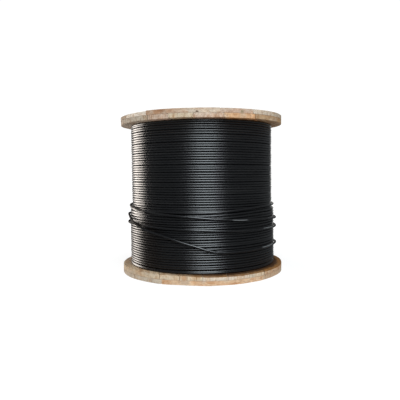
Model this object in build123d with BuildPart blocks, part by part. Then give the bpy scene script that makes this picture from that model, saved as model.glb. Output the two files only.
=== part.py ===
from build123d import *
import math
import os

import numpy as np

# A wooden drum of black fibre optic cable, standing on its lower flange.
# Z is the drum's axis, z = 0 is the floor under the lower flange and -Y is the front.
# Lengths are millimetres and angles are degrees.

# Flanges: two crossed plies of sawn boards each
flange_diameter = 750.0
ply_thickness = 20.0
board_gap = 1.5
rim_ease = 2.0
spindle_bore_diameter = 80.0
lower_flange_turn = 8.0
upper_flange_turn = -12.7
crossing_angle = 90.0

# Joints between the boards, across each ply from its low side to its high side. The middle board
# carries the bore, with its joints at a share of the way from the bore to the bolt holes. The next
# boards end past the bolts' recesses by an edge, and the shares divide the rest up to the rim.
middle_joint_share = 0.35
lower_outer_low_edge = 21.0
lower_outer_low_shares = (0.50,)
lower_outer_high_edge = 47.0
lower_outer_high_shares = (0.63,)
lower_inner_low_edge = 8.0
lower_inner_low_shares = (0.33,)
lower_inner_high_edge = 8.0
lower_inner_high_shares = (0.34,)
upper_inner_low_edge = 8.0
upper_inner_low_shares = (0.275, 0.67)
upper_inner_high_edge = 29.5
upper_inner_high_shares = (0.56,)
upper_outer_low_edge = 8.0
upper_outer_low_shares = (0.50,)
upper_outer_high_edge = 8.0
upper_outer_high_shares = (0.46, 0.843)

# Barrel: staves that stand in a groove of each flange
traverse = 636.0
barrel_diameter = 360.0
stave_count = 12
stave_thickness = 22.0
stave_gap = 2.0
stave_seat_depth = 8.0
stave_clearance = 0.3

# Tie bolts through the barrel, with heads, washers and nuts sunk in recesses of the outer plies
tie_bolt_count = 4
tie_bolt_diameter = 12.0
tie_bolt_to_stave = 12.0
tie_bolt_hole_clearance = 1.0
washer_side = 32.0
washer_thickness = 3.0
hexagon_side_count = 6
hexagon_wall = 3.5
bolt_head_height = 8.0
bolt_head_depth = 2.0
nut_height = 10.0
thread_end_length = 1.5
thread_end_depth = 0.5
recess_clearance = 1.5

# Cable: full layers over the whole traverse, then one more layer part of the way up
cable_diameter = 10.2
lay_gap = 0.2
layer_rise = 9.3
full_layers = 16
part_layer_turns = 25
cable_clearance = 0.3

# Loose outer turns: azimuth from the front, height as a share of the part layer's height, and
# seat, which is 0 on the full layers, 1 on the part layer and 2 over another loose turn
loose_side_count = 6
loose_route_step = 24.0
bend_run_share = 0.45
loose_route_shares = (
    (-150, 1.069, 0.0), (-78, 1.069, 0.0), (-54, 1.035, 1.0), (-31, 0.954, 1.0), (-5, 0.905, 1.0),
    (32, 0.846, 1.0), (81, 0.795, 1.0), (130, 0.854, 1.0), (180, 0.876, 1.0), (230, 0.827, 1.0),
    (279, 0.753, 1.0), (303, 0.753, 1.0), (322, 0.731, 1.0), (354, 0.707, 1.0), (383, 0.673, 1.0),
    (407, 0.663, 1.0), (441, 0.651, 1.0), (490, 0.678, 1.0), (510, 0.714, 2.0), (545, 0.807, 2.0),
    (582, 0.854, 2.0), (606, 0.890, 2.0), (630, 0.900, 1.0), (642, 0.895, 1.2), (654, 0.832, 2.0),
    (664, 0.778, 2.0), (676, 0.685, 2.0), (695, 0.563, 1.0), (711, 0.470, 1.0), (723, 0.391, 1.0),
    (732, 0.350, 1.0), (769, 0.350, 1.0), (801, 0.362, 1.0), (845, 0.482, 1.0), (880, 0.673, 1.0),
    (905, 0.815, 1.0),
)

# Sizes worked out from the driving dimensions
full_turn = 360.0
flange_radius = flange_diameter / 2
flange_thickness = 2 * ply_thickness
bore_radius = spindle_bore_diameter / 2
barrel_radius = barrel_diameter / 2
stave_inner_radius = barrel_radius - stave_thickness
stave_length = traverse + 2 * stave_seat_depth
tie_bolt_radius = tie_bolt_diameter / 2
tie_bolt_hole_radius = tie_bolt_radius + tie_bolt_hole_clearance
tie_bolt_circle_radius = stave_inner_radius - tie_bolt_to_stave - tie_bolt_radius
tie_bolt_start_angle = full_turn / 8 + (lower_flange_turn + upper_flange_turn) / 2
hexagon_flat_radius = tie_bolt_radius + hexagon_wall
recess_radius = math.hypot(washer_side, washer_side) / 2 + recess_clearance
lower_recess_depth = washer_thickness + nut_height + thread_end_length + thread_end_depth
upper_recess_depth = washer_thickness + bolt_head_height + bolt_head_depth
cable_radius = cable_diameter / 2
turn_pitch = cable_diameter + lay_gap
winding_bore_radius = barrel_radius + stave_clearance
full_layer_radius = winding_bore_radius + full_layers * layer_rise
part_layer_radius = full_layer_radius + layer_rise
part_layer_height = part_layer_turns * turn_pitch

# Heights of the faces that the pieces share
lower_flange_top = flange_thickness
upper_flange_bottom = lower_flange_top + traverse
upper_outer_ply_bottom = upper_flange_bottom + ply_thickness
drum_top = upper_flange_bottom + flange_thickness
stave_bottom = lower_flange_top - stave_seat_depth
lower_washer_bottom = lower_recess_depth - washer_thickness
upper_washer_bottom = drum_top - upper_recess_depth
bolt_head_bottom = upper_washer_bottom + washer_thickness
part_layer_top = lower_flange_top + part_layer_height

# Which end of a list of edges, sorted by height, lies on a ply's free face
BOTTOM_FACE = 0
TOP_FACE = -1

pieces = []


def keep(name, part):
    """Label a finished piece and put it on the list of pieces to write."""
    part.label = name
    pieces.append(part)


def bolt_places():
    """The tie bolts' places on their circle around the drum's axis."""
    return PolarLocations(tie_bolt_circle_radius, tie_bolt_count, tie_bolt_start_angle)


def ply_joints(turn, low_edge, low_shares, high_edge, high_shares):
    """Places of a ply's joints across its boards, from rim to rim."""
    bolt_angles = [tie_bolt_start_angle + full_turn * index / tie_bolt_count for index in range(tie_bolt_count)]
    offsets = [abs(tie_bolt_circle_radius * math.cos(math.radians(angle - turn))) for angle in bolt_angles]
    middle = bore_radius + middle_joint_share * (min(offsets) - tie_bolt_hole_radius - bore_radius)
    low = max(offsets) + recess_radius + low_edge
    high = max(offsets) + recess_radius + high_edge
    low_joints = [low + share * (flange_radius - low) for share in low_shares]
    high_joints = [high + share * (flange_radius - high) for share in high_shares]
    low_side = [-joint for joint in reversed([middle, low] + low_joints + [flange_radius])]
    return low_side + [middle, high] + high_joints + [flange_radius]


def make_ply(name, joints, turn, bottom, free_side, cut_bottom, cut_depth, cut_sketch):
    """One ply of a flange: boards side by side, cut to the flange's circle and drilled.

    The boards run along the turned ply's Y axis. free_side is the ply's face away from the other
    ply, whose rim is eased, and cut_sketch draws what is sunk into that face.
    """
    for index in range(len(joints) - 1):
        low = joints[index] + board_gap / 2
        high = joints[index + 1] - board_gap / 2
        with BuildPart() as board:
            with BuildSketch(Plane.XY.offset(bottom).rotated((0, 0, turn))):
                Circle(flange_radius)
                with Locations(((low + high) / 2, 0)):
                    Rectangle(high - low, flange_diameter, mode=Mode.INTERSECT)
            extrude(amount=ply_thickness)
            rim = board.edges().filter_by(GeomType.CIRCLE).group_by(Axis.Z)[free_side]
            chamfer(rim, rim_ease)
            with BuildSketch(Plane.XY.offset(bottom)):
                Circle(bore_radius)
                with bolt_places():
                    Circle(tie_bolt_hole_radius)
            extrude(amount=ply_thickness, mode=Mode.SUBTRACT)
            with BuildSketch(Plane.XY.offset(cut_bottom)):
                cut_sketch()
            extrude(amount=cut_depth, mode=Mode.SUBTRACT)
        keep(f"{name}_board_{index + 1}", board.part)


def draw_groove():
    """The ring-shaped groove that the staves stand in."""
    Circle(barrel_radius + stave_clearance)
    Circle(stave_inner_radius - stave_clearance, mode=Mode.SUBTRACT)


def draw_recesses():
    """The round recesses that hold the washers, bolt heads and nuts."""
    with bolt_places():
        Circle(recess_radius)


def make_staves():
    """The barrel: staves with a flat back and a face turned to the barrel's circle."""
    half_angle = math.radians(full_turn / stave_count / 2)
    inner_half = stave_inner_radius * math.tan(half_angle) - stave_gap / 2
    outer_half = barrel_radius * math.tan(half_angle) - stave_gap / 2
    for index in range(stave_count):
        turn = full_turn * index / stave_count
        with BuildPart() as stave:
            with BuildSketch(Plane.XY.offset(stave_bottom).rotated((0, 0, turn))):
                with BuildLine():
                    Polyline(
                        (stave_inner_radius, -inner_half),
                        (barrel_radius, -outer_half),
                        (barrel_radius, outer_half),
                        (stave_inner_radius, inner_half),
                        close=True,
                    )
                make_face()
                Circle(barrel_radius, mode=Mode.INTERSECT)
            extrude(amount=stave_length)
        keep(f"barrel_stave_{index + 1}", stave.part)


def make_tie_bolts():
    """The hexagon bolts that clamp the flanges on the barrel, one piece each."""
    for index, place in enumerate(bolt_places().local_locations):
        with BuildPart() as tie_bolt:
            with BuildSketch(Plane.XY.offset(thread_end_depth)):
                with Locations(place):
                    Circle(tie_bolt_radius)
            extrude(amount=bolt_head_bottom - thread_end_depth)
            with BuildSketch(Plane.XY.offset(bolt_head_bottom)):
                with Locations(place):
                    RegularPolygon(hexagon_flat_radius, hexagon_side_count, major_radius=False)
            extrude(amount=bolt_head_height)
        keep(f"tie_bolt_{index + 1}", tie_bolt.part)


def make_washers(name, bottom):
    """The square plate washers of one flange, on the floors of their recesses."""
    with BuildPart() as washers:
        with BuildSketch(Plane.XY.offset(bottom)):
            with bolt_places():
                Rectangle(washer_side, washer_side)
                Circle(tie_bolt_hole_radius, mode=Mode.SUBTRACT)
        extrude(amount=washer_thickness)
    keep(name, washers.part)


def make_nuts():
    """The hexagon nuts, tight on the bolts' threads under the lower flange's washers."""
    with BuildPart() as nuts:
        with BuildSketch(Plane.XY.offset(lower_washer_bottom - nut_height)):
            with bolt_places():
                RegularPolygon(hexagon_flat_radius, hexagon_side_count, major_radius=False)
                Circle(tie_bolt_radius, mode=Mode.SUBTRACT)
        extrude(amount=nut_height)
    keep("tie_bolt_nuts", nuts.part)


def make_winding():
    """The wound cable as one turned solid, with the barrel's bore and the part layer's step."""
    with BuildPart() as winding:
        with BuildSketch(Plane.XZ):
            with BuildLine():
                Polyline(
                    (winding_bore_radius, lower_flange_top),
                    (part_layer_radius, lower_flange_top),
                    (part_layer_radius, part_layer_top - cable_radius),
                    (part_layer_radius - cable_radius, part_layer_top),
                    (full_layer_radius, part_layer_top),
                    (full_layer_radius, upper_flange_bottom),
                    (winding_bore_radius, upper_flange_bottom),
                    close=True,
                )
            make_face()
        revolve(axis=Axis.Z)
    keep("cable_winding", winding.part)


def loose_route():
    """Corner points of the loose turns' route around the winding, and the radii of its bends.

    The corners stand outside the route's circle by as much as the straight runs cut inside.
    """
    stations = np.array(loose_route_shares)
    azimuths = np.arange(stations[0, 0], stations[-1, 0], loose_route_step)
    heights = lower_flange_top + part_layer_height * np.interp(azimuths, stations[:, 0], stations[:, 1])
    seats = np.interp(azimuths, stations[:, 0], stations[:, 2])
    seat_radii = [full_layer_radius, part_layer_radius, part_layer_radius + cable_diameter]
    seat_radii = [radius + cable_radius + cable_clearance * (seat + 1) for seat, radius in enumerate(seat_radii)]
    half_step = math.radians(loose_route_step / 2)
    corner_radii = np.interp(seats, range(len(seat_radii)), seat_radii) / math.cos(half_step)
    angles = np.radians(azimuths)
    corners = [
        Vector(radius * math.sin(angle), -radius * math.cos(angle), height)
        for radius, angle, height in zip(corner_radii, angles, heights)
    ]
    bend_radii = []
    for before, corner, after in zip(corners, corners[1:], corners[2:]):
        half_turn = math.radians((corner - before).get_angle(after - corner)) / 2
        shorter_run = min((corner - before).length, (after - corner).length)
        bend_radii.append(bend_run_share * shorter_run / math.tan(half_turn))
    return corners, bend_radii


def make_loose_turns():
    """The last turns of the cable, which lie loose over the winding."""
    corners, bend_radii = loose_route()
    with BuildPart() as loose_turns:
        with BuildLine():
            route = FilletPolyline(*corners, radius=bend_radii)
        with BuildSketch(Plane(origin=route @ 0, x_dir=(0, 0, 1), z_dir=route % 0)):
            flat_turn = full_turn / 4 - full_turn / loose_side_count / 2
            RegularPolygon(cable_radius, loose_side_count, rotation=flat_turn)
        sweep()
    keep("loose_turns", loose_turns.part)


lower_outer_turn = lower_flange_turn - crossing_angle
upper_outer_turn = upper_flange_turn - crossing_angle
lower_outer_joints = ply_joints(lower_outer_turn, lower_outer_low_edge, lower_outer_low_shares,
                                lower_outer_high_edge, lower_outer_high_shares)
lower_inner_joints = ply_joints(lower_flange_turn, lower_inner_low_edge, lower_inner_low_shares,
                                lower_inner_high_edge, lower_inner_high_shares)
upper_inner_joints = ply_joints(upper_flange_turn, upper_inner_low_edge, upper_inner_low_shares,
                                upper_inner_high_edge, upper_inner_high_shares)
upper_outer_joints = ply_joints(upper_outer_turn, upper_outer_low_edge, upper_outer_low_shares,
                                upper_outer_high_edge, upper_outer_high_shares)

make_ply("lower_outer", lower_outer_joints, lower_outer_turn,
         0, BOTTOM_FACE, 0, lower_recess_depth, draw_recesses)
make_ply("lower_inner", lower_inner_joints, lower_flange_turn,
         ply_thickness, TOP_FACE, stave_bottom, stave_seat_depth, draw_groove)
make_ply("upper_inner", upper_inner_joints, upper_flange_turn,
         upper_flange_bottom, BOTTOM_FACE, upper_flange_bottom, stave_seat_depth, draw_groove)
make_ply("upper_outer", upper_outer_joints, upper_outer_turn,
         upper_outer_ply_bottom, TOP_FACE, upper_washer_bottom, upper_recess_depth, draw_recesses)
make_staves()
make_tie_bolts()
make_washers("lower_washers", lower_washer_bottom)
make_washers("upper_washers", upper_washer_bottom)
make_nuts()
make_winding()
make_loose_turns()

os.makedirs("parts", exist_ok=True)
for piece in pieces:
    export_step(piece, f"parts/{piece.label}.step")
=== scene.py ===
import logging
import math
from collections.abc import Callable, Sequence
from dataclasses import dataclass, field
from enum import Enum

import bmesh
import bpy
import numpy as np
from mathutils import Matrix, Vector


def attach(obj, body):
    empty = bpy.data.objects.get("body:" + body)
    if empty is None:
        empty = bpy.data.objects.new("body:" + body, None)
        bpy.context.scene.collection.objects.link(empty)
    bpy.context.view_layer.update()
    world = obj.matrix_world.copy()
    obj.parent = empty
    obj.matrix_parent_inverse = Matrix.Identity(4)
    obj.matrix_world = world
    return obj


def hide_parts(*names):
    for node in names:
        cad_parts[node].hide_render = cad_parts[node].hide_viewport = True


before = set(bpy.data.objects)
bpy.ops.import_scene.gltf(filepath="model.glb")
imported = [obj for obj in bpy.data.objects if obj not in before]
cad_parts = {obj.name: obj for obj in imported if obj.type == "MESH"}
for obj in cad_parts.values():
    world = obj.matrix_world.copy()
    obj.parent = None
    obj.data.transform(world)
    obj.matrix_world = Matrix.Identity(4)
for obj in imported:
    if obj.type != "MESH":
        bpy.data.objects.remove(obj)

log = logging.getLogger("cable_drum")
Array = np.ndarray
Colour = tuple[float, float, float]
Shell = tuple[Array, Array]
BODY = "root"
FULL_TURN = 360.0
QUARTER_TURN = 90.0
# Degrees that each flange is turned about the drum's axis.
LOWER_TURN = 8.0
UPPER_TURN = -12.7
BOLT_CIRCLE = 0.140
BOLT_ANGLE = 42.65


def linear(red: float, green: float, blue: float) -> Colour:
    """Turn a colour as a painter names it, 0 to 255 on screen, into linear light.

    Args:
        red: Screen red.
        green: Screen green.
        blue: Screen blue.

    Returns:
        The same colour in linear light, 0 to 1.
    """
    shares = np.array((red, green, blue)) / 255.0
    low, high = shares / 12.92, ((shares + 0.055) / 1.055) ** 2.4
    return tuple(float(x) for x in np.where(shares <= 0.04045, low, high))


def smooth_step(low: float, high: float, where: Array) -> Array:
    """Cubic ramp from 0 at low to 1 at high.

    Args:
        low: Where the ramp starts.
        high: Where the ramp ends.
        where: Places to read the ramp at.

    Returns:
        The ramp's heights.
    """
    share = np.clip((np.asarray(where, float) - low) / (high - low), 0.0, 1.0)
    return share * share * (3.0 - 2.0 * share)


def between(start: float, full: float, fall: float, end: float, where: Array) -> Array:
    """A rise and a fall: cubic ramps from 0 at start to 1 at full, and from 1 at fall to 0 at end.

    Args:
        start: Where the rise starts.
        full: Where the rise ends.
        fall: Where the fall starts.
        end: Where the fall ends.
        where: Places to read the ramps at.

    Returns:
        The product of both ramps.
    """
    return smooth_step(start, full, where) * smooth_step(end, fall, where)


def wrapped(azimuths: Array) -> Array:
    """Azimuths brought between minus and plus half a turn."""
    return (azimuths + FULL_TURN / 2.0) % FULL_TURN - FULL_TURN / 2.0


def azimuths_of(points: Array) -> Array:
    """Degrees of points round the drum's axis, from the front to the right."""
    return np.degrees(np.arctan2(points[..., 0], -points[..., 1]))


def bolt_places() -> Array:
    """Centres of the four tie bolts, a quarter turn apart on the bolt circle."""
    angles = np.radians(BOLT_ANGLE + QUARTER_TURN * np.arange(4))
    return np.stack([np.cos(angles), np.sin(angles), np.zeros(4)], -1) * BOLT_CIRCLE


@dataclass(frozen=True)
class Ripple:
    """Smooth seeded unevenness along a line: a sum of sines with random phases, of unit spread."""

    seed: int
    longest: float
    shortest: float
    waves: int = 9

    def at(self, where: Array) -> Array:
        """Read the unevenness.

        Args:
            where: Places along the line, in the units of the wavelengths.

        Returns:
            Heights with mean near 0 and spread near 1.
        """
        lengths = np.geomspace(self.longest, self.shortest, self.waves)
        phases = np.random.default_rng(self.seed).uniform(0.0, 2.0 * math.pi, self.waves)
        sizes = (lengths / self.longest) ** 0.5
        waves = np.sin(2.0 * math.pi * np.asarray(where, float)[..., None] / lengths + phases)
        return (waves * sizes).sum(-1) / math.sqrt((sizes**2).sum() / 2.0)


def operators(operation: str) -> tuple[Callable, Callable]:
    """A Python operator on values, each use of which adds a Math node.

    Args:
        operation: The Math node's operation.

    Returns:
        The operator's method and its reflected form.
    """

    def plain(self: "Value", other: "Value | float") -> "Value":
        """The value stands first."""
        return self.recipe.math(operation, self, other)

    def reflected(self: "Value", other: float) -> "Value":
        """The value stands second."""
        return self.recipe.math(operation, other, self)

    return plain, reflected


class Value:
    """An output socket that can be used in Python arithmetic."""

    __add__, __radd__ = operators("ADD")
    __sub__, __rsub__ = operators("SUBTRACT")
    __mul__, __rmul__ = operators("MULTIPLY")
    __truediv__, __rtruediv__ = operators("DIVIDE")
    __pow__, __rpow__ = operators("POWER")
    __mod__, __rmod__ = operators("FLOORED_MODULO")

    def __init__(self, recipe: "Recipe", socket: bpy.types.NodeSocket) -> None:
        """Wrap a socket of a recipe's tree."""
        self.recipe = recipe
        self.socket = socket

    def ramp(self, low: float, high: float) -> "Value":
        """Smooth ramp.

        Args:
            low: The value at which it starts from 0.
            high: The value at which it reaches 1.

        Returns:
            The ramp's height.
        """
        sockets = {"Value": self, "From Min": low, "From Max": high}
        settings = {"interpolation_type": "SMOOTHSTEP"}
        node = self.recipe.add("ShaderNodeMapRange", settings, sockets)
        return Value(self.recipe, node.outputs["Result"])


class Nodes:
    """A tree of shader nodes that grows by one method."""

    def __init__(self, tree: bpy.types.NodeTree) -> None:
        """Work on a tree."""
        self.tree = tree

    def add(
        self,
        kind: str,
        settings: dict[str, object] | None = None,
        sockets: dict[str | int, object] | None = None,
    ) -> bpy.types.Node:
        """Add any node: its settings are set first, then its sockets get values or links.

        Args:
            kind: The node's type.
            settings: Its properties.
            sockets: Input names, identifiers or numbers, each with a value or what feeds it.

        Returns:
            The node.
        """
        node = self.tree.nodes.new(kind)
        for key, value in (settings or {}).items():
            setattr(node, key, value)
        identified = {socket.identifier: socket for socket in node.inputs}
        for key, value in (sockets or {}).items():
            target = identified[key] if key in identified else node.inputs[key]
            source = value.socket if isinstance(value, Value) else value
            if isinstance(source, bpy.types.NodeSocket):
                self.tree.links.new(source, target)
            else:
                target.default_value = source
        return node


class Recipe(Nodes):
    """A material's node tree, written as expressions, around one Principled shader."""

    def __init__(self, name: str, **constants: object) -> None:
        """Start a material.

        Args:
            name: The material's name.
            **constants: Values for the shader's own sockets, spaces written as underscores.
        """
        self.material = bpy.data.materials.new(name)
        self.material.use_nodes = True
        super().__init__(self.material.node_tree)
        self.shader = self.tree.nodes["Principled BSDF"]
        for key, value in constants.items():
            self.shader.inputs[key.replace("_", " ")].default_value = value

    def math(self, operation: str, first: Value | float, second: Value | float) -> Value:
        """Add one Math node and wrap its result."""
        node = self.add("ShaderNodeMath", {"operation": operation}, {0: first, 1: second})
        return Value(self, node.outputs[0])

    def attribute(self, name: str, output: str = "Fac") -> Value:
        """Read one of the piece's own attributes: Fac, Vector or Color."""
        node = self.add("ShaderNodeAttribute", {"attribute_name": name})
        return Value(self, node.outputs[output])

    def place(self) -> Value:
        """The point's place in the drum's own frame, in metres."""
        return Value(self, self.add("ShaderNodeTexCoord").outputs["Object"])

    def stretched(
        self, vector: Value, scale: Sequence[float], shift: Sequence[float] = (0.0, 0.0, 0.0)
    ) -> Value:
        """A vector scaled along each axis and then moved."""
        sockets = {"Vector": vector, "Scale": tuple(scale), "Location": tuple(shift)}
        return Value(self, self.add("ShaderNodeMapping", None, sockets).outputs["Vector"])

    def length(self, vector: Value) -> Value:
        """The length of a vector."""
        node = self.add("ShaderNodeVectorMath", {"operation": "LENGTH"}, {0: vector})
        return Value(self, node.outputs["Value"])

    def split(self, vector: Value) -> tuple[Value, Value, Value]:
        """The three parts of a vector."""
        node = self.add("ShaderNodeSeparateXYZ", None, {"Vector": vector})
        return tuple(Value(self, node.outputs[axis]) for axis in "XYZ")

    def noise(
        self, vector: Value, scale: Sequence[float], detail: float, roughness: float
    ) -> Value:
        """Cloud noise on a stretched vector.

        Args:
            vector: Where the noise is read.
            scale: How many clouds to the metre along each axis.
            detail: How many finer layers it has.
            roughness: How strong they are.

        Returns:
            The noise, 0 to 1.
        """
        sockets = {"Vector": self.stretched(vector, scale), "Scale": 1.0}
        sockets |= {"Detail": detail, "Roughness": roughness}
        return Value(self, self.add("ShaderNodeTexNoise", None, sockets).outputs[0])

    def mix(
        self, share: Value | float, below: Value | Colour, above: Value | Colour, way: str = "MIX"
    ) -> Value:
        """Blend two colours.

        Args:
            share: How much of the colour above.
            below: The colour below.
            above: The colour above.
            way: The blend's name.

        Returns:
            The blended colour.
        """
        sockets = {"Factor_Float": share}
        for key, colour in (("A_Color", below), ("B_Color", above)):
            sockets[key] = colour if isinstance(colour, Value) else (*colour, 1.0)
        node = self.add("ShaderNodeMix", {"data_type": "RGBA", "blend_type": way}, sockets)
        return Value(self, next(s for s in node.outputs if s.identifier == "Result_Color"))

    def feed(self, socket: str, value: Value) -> None:
        """Link a value to one of the shader's sockets."""
        self.tree.links.new(value.socket, self.shader.inputs[socket])

    def overlay(self, share: Value, shader: bpy.types.Node) -> None:
        """Lay a second shader over the first.

        Args:
            share: How much of the second shader shows.
            shader: The second shader.
        """
        sockets = {0: share, 1: self.shader.outputs[0], 2: shader.outputs[0]}
        blend = self.add("ShaderNodeMixShader", None, sockets)
        out = next(node for node in self.tree.nodes if node.type == "OUTPUT_MATERIAL")
        self.tree.links.new(blend.outputs[0], out.inputs["Surface"])

    def bump(self, height: Value, depth: float, strength: float) -> None:
        """Feed the shader's Normal from a height.

        Args:
            height: The height, 0 to 1.
            depth: What a height of 1 stands for, in metres.
            strength: How much of the bump shows.
        """
        sockets = {"Height": height, "Distance": depth, "Strength": strength}
        node = self.add("ShaderNodeBump", None, sockets)
        self.feed("Normal", Value(self, node.outputs["Normal"]))


class Tone(Enum):
    """Timber tones, as the eye names them on a weathered board."""

    BLEACHED = linear(212, 200, 186)
    PALE = linear(178, 162, 145)
    CREAM = linear(174, 156, 132)
    GREY = linear(164, 150, 133)
    PINK = linear(167, 141, 123)
    RED = linear(164, 134, 110)
    ORANGE = linear(180, 134, 90)
    STRAW = linear(180, 152, 124)
    TAN = linear(162, 134, 106)
    BROWN = linear(158, 130, 98)


def tones(words: str) -> tuple[Tone, ...]:
    """Tones by their names, one for each board of a ply."""
    return tuple(Tone[word] for word in words.split())


@dataclass(frozen=True)
class Blemish:
    """A knot, stain or nail hole: its middle on the drum and its reach along each axis."""

    middle: tuple[float, float, float]
    reach: tuple[float, float, float]
    colour: Colour = linear(62, 43, 30)
    strength: float = 0.85


@dataclass(frozen=True)
class Glaze:
    """A tint over another colour, from where a mask lets it start to where it is full."""

    start: float
    full: float
    strength: float
    tint: Colour

    def over(self, recipe: Recipe, mask: Value, below: Value) -> Value:
        """Multiply a colour by the tint where the mask is high."""
        share = mask.ramp(self.start, self.full) * self.strength
        return recipe.mix(share, below, self.tint, "MULTIPLY")


@dataclass(frozen=True)
class SawnTimber:
    """Weathered softwood sawn from a log: growth rings around the log's heart, fibres along it,
    saw marks on the end grain, warm and grey patches, knots, brown stain next to the cable, and a
    dark band along the cable that is partly dirt and partly painted shadow."""

    name: str = "sawn_timber"
    ring_spacing: float = 0.0046
    ring_wander: float = 0.016
    late_power: float = 2.6
    # Dark brown of the dirt, also used for the painted shadow next to the cable.
    dirt_and_shadow_colour: Colour = linear(60, 36, 14)
    oiled_colour: Colour = linear(120, 75, 18)
    grey_colour: Colour = linear(153, 144, 131)
    end_colour: Colour = linear(188, 178, 162)
    late_on_side: Colour = (0.56, 0.40, 0.27)
    late_on_end: Colour = (0.60, 0.46, 0.33)
    dark_streak: Glaze = Glaze(0.46, 0.66, 0.6, (0.68, 0.52, 0.39))
    light_streak: Glaze = Glaze(0.50, 0.68, 0.4, (1.22, 1.20, 1.16))
    dark_fibre: Glaze = Glaze(0.52, 0.72, 0.55, (0.52, 0.42, 0.33))
    dark_saw: Glaze = Glaze(0.50, 0.66, 0.75, (0.52, 0.40, 0.30))
    torn_fibre: Glaze = Glaze(0.53, 0.68, 0.5, (1.30, 1.27, 1.22))
    warm_patch: Glaze = Glaze(0.48, 0.64, 0.6, (0.82, 0.63, 0.46))
    dark_blotch: Glaze = Glaze(0.50, 0.66, 0.5, (0.62, 0.52, 0.43))
    light_blotch: Glaze = Glaze(0.52, 0.68, 0.45, (1.26, 1.24, 1.20))
    dark_speck: Glaze = Glaze(0.58, 0.72, 0.5, (0.42, 0.33, 0.26))
    # Radii of the dark band next to the cable, partly dirt and partly painted shadow; then the
    # side over which the stain and that band grow.
    dirt_and_shadow_radii: tuple[float, float] = (0.339, 0.358)
    stain_and_shadow_side: tuple[float, float] = (-0.22, 0.08)
    blemishes: tuple[Blemish, ...] = (
        Blemish((-0.015, -0.375, 0.700), (0.0090, 0.020, 0.0045), strength=0.95),
        Blemish((-0.056, -0.371, 0.699), (0.0100, 0.020, 0.0050), linear(136, 104, 76), 0.6),
        Blemish((0.166, -0.336, 0.702), (0.0100, 0.020, 0.0110), linear(104, 92, 66), 0.7),
        Blemish((0.313, -0.207, 0.026), (0.0042, 0.007, 0.0038), linear(62, 52, 48), 0.95),
        Blemish((-0.076, -0.367, 0.030), (0.0190, 0.030, 0.0170), linear(160, 116, 76), 0.7),
        Blemish((-0.331, -0.176, 0.705), (0.0130, 0.016, 0.0090), linear(150, 118, 92), 0.6),
        Blemish((0.352, 0.130, 0.697), (0.0120, 0.012, 0.0050)),
        Blemish((-0.200, 0.317, 0.687), (0.0100, 0.014, 0.0060)),
        Blemish((0.050, 0.372, 0.013), (0.0120, 0.016, 0.0055)),
        Blemish((-0.370, 0.060, 0.011), (0.0140, 0.011, 0.0050)),
        Blemish((0.220, 0.304, 0.028), (0.0090, 0.012, 0.0050)),
        Blemish((0.105, -0.215, 0.716), (0.0170, 0.011, 0.0100)),
        Blemish((-0.210, 0.120, 0.716), (0.0130, 0.009, 0.0100)),
        Blemish((0.245, 0.150, 0.716), (0.0150, 0.010, 0.0100)),
        Blemish((-0.050, 0.272, 0.716), (0.0110, 0.008, 0.0100)),
        Blemish((0.150, -0.100, 0.000), (0.0160, 0.011, 0.0100)),
        Blemish((-0.125, -0.235, 0.000), (0.0120, 0.009, 0.0100)),
    )

    def side_grain(
        self, recipe: Recipe, tone: Value, grain: Value, late: Value
    ) -> tuple[Value, Value]:
        """A face along the fibres: late wood, long streaks and fine fibres.

        Args:
            recipe: The material.
            tone: The board's own colour.
            grain: The point's place in its log.
            late: How far the point is late wood.

        Returns:
            The face's colour and height.
        """
        streak = recipe.noise(grain, (1.5, 58.0, 58.0), 4.0, 0.6)
        fibre = recipe.noise(grain, (8.0, 300.0, 300.0), 4.0, 0.65)
        side = recipe.mix(late * 0.4, tone, self.late_on_side, "MULTIPLY")
        side = self.dark_streak.over(recipe, streak, side)
        side = self.light_streak.over(recipe, 1.0 - streak, side)
        side = self.dark_fibre.over(recipe, fibre, side)
        return side, fibre * 0.6 + streak * 0.6

    def end_grain(
        self, recipe: Recipe, tone: Value, grain: Value, late: Value
    ) -> tuple[Value, Value]:
        """A sawn end: rings, upright saw marks and torn pale fibres.

        Args:
            recipe: The material.
            tone: The board's own colour.
            grain: The point's place in its log.
            late: How far the point is late wood.

        Returns:
            The end's colour and height.
        """
        saw = recipe.noise(grain, (24.0, 190.0, 22.0), 5.0, 0.68)
        butt = recipe.mix(0.2, tone, self.end_colour)
        butt = recipe.mix(late * 0.35, butt, self.late_on_end, "MULTIPLY")
        butt = self.dark_saw.over(recipe, saw, butt)
        butt = self.torn_fibre.over(recipe, 1.0 - saw, butt)
        return butt, 1.0 - saw

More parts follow.
